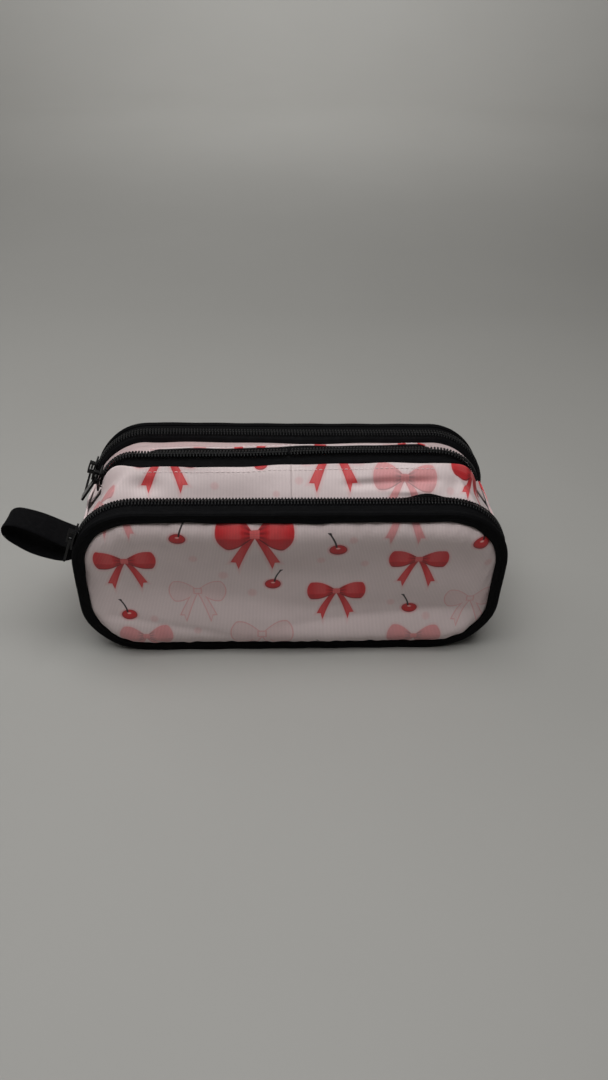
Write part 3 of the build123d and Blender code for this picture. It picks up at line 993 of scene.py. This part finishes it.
def hipLine(x, start, power):
    # In front of and behind the zip the cloth comes down sooner and straighter.
    beyond = np.clip((np.abs(x) - start) / (mainShape["foot"] - start), 0, 1)
    return mainShape["ridge"] - (mainShape["ridge"] - mainShape["footZ"]) * beyond**power


def bandWidth(x):
    # The tape shows at its full width along the mouth and narrows to the coil round the ends.
    return mainShape["halfBand"] - (mainShape["halfBand"] - mainShape["endBand"]) * smoothStep(
        np.abs(x), 76, 97,
    )


def clothEdge(x, mirror):
    wander = 0.45 * np.sin(x / 9.5 + mirror) + 0.3 * np.sin(x / 4.7)
    return zipSway(x) + mirror * (bandWidth(x) + wander * (1 - smoothStep(np.abs(x), 70, 90)))


def mainCreases(x, across, mirror):
    # Pulls and folds on the slopes: shallow waves, a long fold under the right half, a dimple at each end.
    waves = ripple(
        x, across * 20,
        [(47, 62, 0.4, 0.5), (29, 110, 2.0, 0.32), (17, 80, 1.0, 0.16), (73, 10, 2.5, 0.5)],
    )
    if mirror < 0:
        fold = -1.9 * hump(
            across, 0.50 + 0.0016 * (x - 50), 0.10,
        ) * smoothStep(x, 22, 40) * (1 - smoothStep(x, 66, 84))
        lens = 1.2 * hump(across, 0.30, 0.07) * hump(x, 62, 9)
        dimples = -1.6 * hump(x, 87, 5) * hump(across, 0.45, 0.2) - 2.2 * hump(x, -76, 8) * hump(
            across, 0.48, 0.22,
        )
        waves = waves + fold + lens + dimples
    return waves * (1 - np.clip(across, 0, 1) ** 4) * (1 - np.exp(-across * 6))


def mainGrid(xs, across, mirror):
    # "across" runs from 0 in the valley, up a full rounded slope, to 1 at the tape's edge and 2 at the
    # zip's middle. Height is the lesser of that section and the end's falling line, eased where they meet.
    x, a = xs[:, None], across[None, :]
    slope, band = np.clip(a, 0, 1), np.clip(a - 1, 0, 1)
    edge, foot = clothEdge(x, mirror), mirror * caseSize["wallY"]
    y = foot + (edge - foot) * slope + (zipSway(x) - edge) * band
    edgeZ = mainShape["edgeZ"] + mirror * mainShape["tilt"]
    z = (
        mainShape["valley"]
        + (edgeZ - mainShape["valley"]) * (0.62 * slope + 0.38 * np.sin(slope * math.pi / 2))
    )
    z = z + (mainShape["ridge"] - edgeZ) * np.sin(band * math.pi / 2)
    side = hipLine(x, 78, 1.35) if mirror < 0 else hipLine(x, 70, 1.2)
    away = smoothStep(mirror * (y - zipSway(x)), 2.5, 11)
    ceiling = centreLine(x) * (1 - away) + side * away
    ease = 0.9
    gap = np.clip((ceiling - z) / ease, -60, 60)
    z = z - np.log1p(np.exp(-gap)) * ease
    push = mainCreases(x, a, mirror) * np.clip((z - mainShape["footZ"]) / 12, 0, 1)
    y = y + mirror * push * 0.75
    y = np.where(mirror < 0, np.maximum(y, foot), np.minimum(y, foot))
    points = np.stack(np.broadcast_arrays(x, y, z + push * 0.6), -1)
    run = np.cumsum(np.r_[0, np.hypot(*np.diff(points[0][:, 1:], axis=0).T)])
    lengthwise = np.cumsum(np.r_[0, np.hypot(*np.diff(points[:, -1, ::2], axis=0).T)])
    lengthwise = lengthwise * np.sign(xs[-1])
    return points, np.stack(np.broadcast_arrays(-mirror * lengthwise[:, None], run[None, :]), -1)


def raised(points, amount):
    # Moves a grid along its own normals, which point up and out.
    along, over = np.gradient(points, axis=0), np.gradient(points, axis=1)
    normal = np.cross(along, over)
    normal /= np.linalg.norm(normal, axis=-1, keepdims=True) + 1e-9
    upward = np.sign(normal[len(points) // 4, points.shape[1] // 2, 2])
    return points + normal * upward * amount


def halfStations(sign, last):
    # Stations from the middle outwards, closer together round the end.
    x = np.r_[
        np.linspace(0, 74, 90), 80 + 21.3 * np.sin(np.linspace(-0.28, math.pi / 2, 46)),
        np.linspace(101.7, mainShape["foot"], 14),
    ]
    return sign * x[x <= last]


mainMotifs = [
    ("bow", -66, 31, 38, 0, 1.3), ("bow", 22, 32, 40, 0, 1.3), (
        "pinkBow", 60, 15, 34, 3, 1.2,
    ), ("cherry", -16, 23, 6.5, 1),
    ("bow", 100, 22, 30), (
        "pinkBow", -106, 10, 28,
    ), ("dot", -40, 12, 6), ("dot", 4, 14, 6), ("dot", -8, 7, 5), ("dot", 84, 8, 6),
]
mainCloth = printedCloth("mainCloth", mainMotifs)

for side, mirror in (("front", -1), ("back", 1)):
    for end, sign in (("left", -1), ("right", 1)):
        points, uv = mainGrid(halfStations(sign, 113), np.linspace(0, 1, 40), mirror)
        cloth = surfacePiece(f"{side}{end.title()}MouthCloth", points, uv, outward=(0, 0, 60))
        thicken(cloth, 0.9)
        line = ((sign * 107, 0, 0), (sign * mainShape["mouth"], 0, 0))
        finishPiece(
            cloth, mainCloth, "printed_cloth", blend=("case", f"main_{side}_flap", *line),
            replaces=(f"main_{side}_slope", f"main_{end}_end"),
        )
print("middle cloth")


def makeMainTape(side, end, mirror, sign):
    # From under the cloth's hem up to the coil, as a thin closed strip just below the cloth's own surface.
    across = np.r_[np.linspace(0.94, 1, 3), np.linspace(1.12, 1.93, 8)]
    points, uv = mainGrid(halfStations(sign, 101.2), across, mirror)
    top, low = raised(points, -0.6), raised(points, -1.2)
    top[:, 0], low[:, 0] = raised(points, -1.1)[:, 0], raised(points, -1.7)[:, 0]
    strip = np.concatenate([top, low[:, ::-1]], 1)
    tape = surfacePiece(
        f"{side}{end.title()}MouthTape", strip, np.concatenate([uv, uv[:, ::-1]], 1), wrapColumns=True,
        caps=True,
    )
    line = ((sign * 107, 0, 0), (sign * mainShape["mouth"], 0, 0))
    finishPiece(
        tape, tapeMaterial, "zip_tape", blend=("case", f"main_{side}_flap", *line),
        replaces=(f"main_{side}_tape", f"main_{end}_tape_end"),
    )


def mainTrail(along):
    # Arc length along the zip turned into places, with the rows' outward, lengthwise and sideways directions.
    x = 101.3 * np.sin(np.linspace(-math.pi / 2, math.pi / 2, 3000))
    y, z = zipSway(x), centreLine(x)
    run = np.cumsum(np.r_[0, np.sqrt(np.diff(x) ** 2 + np.diff(y) ** 2 + np.diff(z) ** 2)])
    run = run - np.interp(0, x, run)
    place = np.stack([np.interp(along, run, v) for v in (x, y, z)], -1)
    step = np.stack(
        [np.interp(along + 0.5, run, v) - np.interp(along - 0.5, run, v) for v in (x, y, z)], -1,
    )
    forward = step / np.linalg.norm(step, axis=1, keepdims=True)
    sideways = np.zeros_like(forward) + np.array([0.0, 1, 0])
    sideways = sideways - forward * (sideways * forward).sum(1, keepdims=True)
    outward = np.cross(forward, sideways)
    return place - outward * 0.35, outward, forward, sideways


coilReach = 111
for side, mirror, phase in (("front", -1, 0), ("back", 1, 1)):
    for end, sign in (("left", -1), ("right", 1)):
        makeMainTape(side, end, mirror, sign)
        line = ((sign * 107, 0, 0), (sign * mainShape["mouth"], 0, 0))
        span = (0, coilReach) if sign > 0 else (-coilReach, 0)
        nodes = (f"main_{side}_coil", f"main_{end}_coil_end")
        makeCoil(
            f"{side}{end.title()}MouthCoil", mainTrail, span, mirror, phase,
            blend=("case", f"main_{side}_flap", *line), replaces=nodes,
        )
print("middle zip")


stitchShape = {"pitch": 2.7, "length": 1.9, "thick": 0.15}
threadMaterial, _, threadShader = baseMaterial("paleThread", 0.6, 0.2)
threadShader.inputs["Base Color"].default_value = (0.85, 0.72, 0.71, 1)


def makeStitches(name, line, material, slotName, **riding):
    # Short rounded threads, each a six-sided rod with drawn-in ends, spaced evenly along a line of points.
    run = np.cumsum(np.r_[0, np.linalg.norm(np.diff(line, axis=0), axis=1)])
    count = int(run[-1] / stitchShape["pitch"])
    middle = (np.arange(count) + 0.5) * stitchShape["pitch"]

    def at(distance):
        return np.stack([np.interp(distance, run, line[:, k]) for k in range(3)], -1)

    forward = at(middle + 0.4) - at(middle - 0.4)
    forward /= np.linalg.norm(forward, axis=1, keepdims=True)
    sideways = np.cross(forward, np.array([0.0, 0, 1]) + 0 * forward)
    sideways /= np.linalg.norm(sideways, axis=1, keepdims=True)
    up = np.cross(sideways, forward)
    turn = np.linspace(0, 2 * math.pi, 6, endpoint=False)
    stations = np.array([-0.5, -0.38, 0, 0.38, 0.5]) * stitchShape["length"]
    size = np.array([0.35, 0.9, 1.1, 0.9, 0.35]) * stitchShape["thick"]
    dip = np.array([-0.25, 0.0, 0.12, 0.0, -0.25])
    grid = (
        at(middle)[:, None, None]
        + forward[:, None, None] * stations[None, :, None, None]
        + sideways[:, None, None] * (size[:, None] * np.cos(turn))[None, :, :, None]
        + up[:, None, None] * (size[:, None] * np.sin(turn) + dip[:, None])[None, :, :, None]
    )
    finishPiece(copiesPiece(name, grid), material, slotName, **riding)


for side, mirror in (("front", -1), ("back", 1)):
    xs = np.linspace(-mainShape["mouth"] + 0.5, mainShape["mouth"] - 0.5, 300)
    points, _ = mainGrid(xs, np.array([0.0, 0.84, 1.0]), mirror)
    line = points[:, 1] + np.array([0, mirror * 0.05, 0.08])
    makeStitches(side + "MouthStitching", line, threadMaterial, "printed_cloth", body=f"main_{side}_flap")
print("stitches")


def makeGusset(side):
    # The strip that closes the pocket below the fold, gently bowed outwards between its two seams.
    mirror = -1 if side == "front" else 1
    around = np.linspace(zipEnd + 0.5, pocketRound + zipStart - 0.5, 300)
    t = np.linspace(0, 1, 15)
    line = np.stack([-0.9 + 0.8 * np.sin(t * math.pi), 0.8 + 17.6 * t], -1)
    profile = stripProfile(line, 0.9)
    x, z, _, _ = pocketOutline(around)
    sway = 0.25 * np.sin(around / 6.5) + 0.2 * np.sin(around / 11 + 2)
    points = carryRound(
        around, profile, 0, mirror, (sway[:, None] * np.sin(np.r_[t, t[::-1]] * math.pi)[None, :], 0),
    )
    points[..., 2] = np.maximum(points[..., 2], 0.12)
    gusset = surfacePiece(
        side + "PocketGusset", points, sectionUv(around, profile), wrapColumns=True, caps=True,
    )
    finishPiece(gusset, tapeMaterial, "printed_cloth", body="case", replaces=(side + "_gusset",))


def makeMainWall():
    # The middle compartment's own strip, from one shoulder down, along the floor and up to the other.
    shoulder = zipStart + 9.5
    around = np.linspace(pocketRound - shoulder, pocketRound + shoulder, 320)
    t = np.linspace(0, 1, 31)
    line = np.stack([-1.3 + 0.9 * np.sin(t * math.pi), 18.4 + 45.2 * t], -1)
    profile = stripProfile(line, 1.0)
    waves = ripple(
        around[:, None], np.r_[t, t[::-1]][None, :] * 45, [(33, 35, 0, 0.35), (21, 115, 1, 0.25)],
    )
    fade = np.sin(np.r_[t, t[::-1]] * math.pi)[None, :]
    points = carryRound(around, profile, 0, -1, (waves * fade, 0))
    points[..., 2] = np.maximum(points[..., 2], 0.12)
    wall = surfacePiece("middleWall", points, sectionUv(around, profile), wrapColumns=True, caps=True)
    finishPiece(wall, wallCloth, "printed_cloth", body="case", replaces=("main_gusset",))


wallMotifs = [("bow", 140 + 95 * k, 43 + 6 * (k % 2), 30) for k in range(8)]
wallMotifs += [("cherry", 95 + 95 * k, 36 + 12 * (k % 2), 8, 1) for k in range(8)]
wallCloth = printedCloth("wallCloth", wallMotifs)
for side in ("front", "back"):
    makeGusset(side)
makeMainWall()
print("gussets and wall")


def makeInnerSheet(name, y, inset, top, material, slotName, node, phase):
    # A cloth sheet the shape of the pocket's outline, cut down to its seam's height, with slow waves.
    rows, columns = 60, 90
    half = caseSize["length"] / 2 - inset
    radius = caseSize["cornerRadius"] - inset
    v = np.linspace(0, 1, rows)[:, None]
    z = inset + (top - inset) * v
    into = np.clip(np.maximum(inset + radius - z, z - (top - radius)), 0, radius)
    width = half - radius + np.sqrt(np.maximum(radius**2 - into**2, 0))
    x = np.linspace(-1, 1, columns)[None, :] * width
    z = np.broadcast_to(z, x.shape)
    rim = np.sin(v * math.pi) * np.cos(np.linspace(-1, 1, columns) * math.pi / 2)[None, :]
    sway = ripple(x, z, [(71, 40, phase, 0.5), (43, 100, phase + 1, 0.35)]) * rim
    points = np.stack([x, y + sway, z], -1)
    sheet = surfacePiece(name, points, np.stack([x, z], -1), outward=(0, 0 if y > 0 else 1, 50))
    thicken(sheet, 0.6, 0.0)
    finishPiece(sheet, material, slotName, body="case", replaces=(node,))


for side, mirror in (("front", -1), ("back", 1)):
    makeInnerSheet(
        side + "Divider", mirror * 22.9, 1.4, 84.5, liningMaterial, "lining", side + "_divider", 0.3,
    )
    makeInnerSheet(
        side + "PocketLining", mirror * 24.9, 5, 80, liningMaterial, "lining", side + "_pocket_lining",
        2.0,
    )
    makeInnerSheet(
        side + "MiddleLining", mirror * 21.1, 9, 68, liningMaterial, "lining", f"main_{side}_lining", 4.0,
    )
print("linings")


strapShape = {
    "width": 20,
    "middleY": -17.4,
    "thick": 1.5,
    "loop": [
        (-113.6, 58.6), (-120, 62.4), (-129, 68.4), (-138, 73.8), (-145, 76.4), (-150, 75.0),
        (-149.8, 69.8), (-145, 64.0), (-138, 58.6), (-129.5, 54.4), (-121, 52.6), (-114.6, 55.0),
    ],
}


def closedCurve(corners, count):
    # Uniform cubic B-spline through a closed ring of guiding points.
    p = np.array(corners, float)
    t = np.linspace(0, len(p), count, endpoint=False)
    i, f = t.astype(int), (t % 1)[:, None]
    a, b, c, d = (p[(i + k) % len(p)] for k in (-1, 0, 1, 2))
    near = (1 - f) ** 3 * a + (3 * f**3 - 6 * f**2 + 4) * b
    far = (-3 * f**3 + 3 * f**2 + 3 * f + 1) * c + f**3 * d
    return (near + far) / 6


def makeStrap(shape):
    # Flat webbing carried round the loop, with rounded selvedges, turned a little at the tip.
    line = closedCurve(shape["loop"], 240)
    run = np.roll(line, -1, 0) - np.roll(line, 1, 0)
    run /= np.linalg.norm(run, axis=1, keepdims=True)
    out = np.stack([run[:, 1], -run[:, 0]], -1)
    w = np.linspace(-1, 1, 23)
    half = shape["thick"] / 2 * (1 - 0.75 * np.abs(w) ** 10)
    section = np.vstack([np.stack([w, half], -1), np.stack([w[::-1], -half[::-1]], -1)])
    cup = 0.5 * section[:, 0] ** 2
    reach = smoothStep(-line[:, 0], 116, 150)
    twist = 0.16 * reach
    y = (
        shape["middleY"] - 1.4 * reach[:, None]
        + section[None, :, 0] * shape["width"] / 2 * np.cos(twist)[:, None]
    )
    lean = section[None, :, 0] * shape["width"] / 2 * np.sin(twist)[:, None]
    away = section[None, :, 1] + cup[None, :] * reach[:, None] + 0.10 * np.sin(np.arange(240) / 6)[:, None]
    x = line[:, None, 0] + out[:, None, 0] * away
    z = line[:, None, 1] + out[:, None, 1] * away - lean
    points = np.stack([x, y, z], -1)
    lengths = np.arange(240) * 0.5
    uv = np.stack(np.broadcast_arrays(lengths[:, None], section[None, :, 0] * 10), -1)
    strap = surfacePiece("webbingLoop", points, uv, wrapRows=True, wrapColumns=True)
    finishPiece(strap, webbingMaterial, "webbing", body="strap", replaces=("strap",))


def makeStrapTab(shape):
    # The loop's sewn root: a flat patch of the same webbing with rounded edges.
    low, high = (np.array(c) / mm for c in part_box("strap_tab"))
    turn = np.linspace(0, 2 * math.pi, 40, endpoint=False)

    def squared(value, power):
        return np.sign(value) * np.abs(value) ** power

    z = (low[2] + high[2]) / 2 + (high[2] - low[2]) / 2 * squared(np.sin(turn), 0.35)
    x = (low[0] + high[0]) / 2 + (high[0] - low[0]) / 2 * squared(np.cos(turn), 0.5)
    ys = np.linspace(low[1], high[1], 24)
    points = np.stack(np.broadcast_arrays(x[None, :], ys[:, None], z[None, :]), -1)
    uv = np.stack(np.broadcast_arrays(ys[:, None], np.arange(40)[None, :] * 0.4), -1)
    tab = surfacePiece("strapRoot", points, uv, wrapColumns=True, caps=True)
    finishPiece(tab, webbingMaterial, "webbing", body="case", replaces=("strap_tab",))


makeStrap(strapShape)
makeStrapTab(strapShape)
print("strap")

for name in ("front", "main", "back"):
    for part in ("slider", "pull"):
        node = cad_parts[f"{name}_{part}"]
        node.data.materials.clear()
        node.data.materials.append(sliderMaterial)
print("sliders")


floorShape = {"flat": 1500, "bend": 500, "rise": 2600}


def makeFloor(shape):
    # One pale dish: level round the case, curving up all round far outside it.
    angle = np.linspace(0, math.pi / 2, 16)
    radius = np.r_[
        0.01, 200, 700, shape["flat"] + shape["bend"] * np.sin(angle), shape["flat"] + shape["bend"],
    ]
    z = np.r_[0, 0, 0, shape["bend"] * (1 - np.cos(angle)), shape["rise"]]
    turn = np.linspace(0, 2 * math.pi, 96, endpoint=False)
    rings = [radius[:, None] * np.cos(turn), radius[:, None] * np.sin(turn), z[:, None] + 0 * turn]
    floor = surfacePiece("studioFloor", np.stack(rings, -1), wrapColumns=True, outward=(0, 0, -90000))
    material, tree, shader = baseMaterial("paleFloor", 0.6)
    source = addNode(tree, "ShaderNodeTexCoord")
    cloud = addNode(tree, "ShaderNodeTexNoise")
    cloud.inputs["Scale"].default_value = 6.0
    tree.links.new(source.outputs["Object"], cloud.inputs["Vector"])
    feed(
        tree, shader.inputs["Base Color"],
        blendColours(tree, cloud.outputs[0], (0.365, 0.358, 0.338, 1), (0.388, 0.381, 0.361, 1)),
    )
    floor.data.materials.append(material)


makeFloor(floorShape)
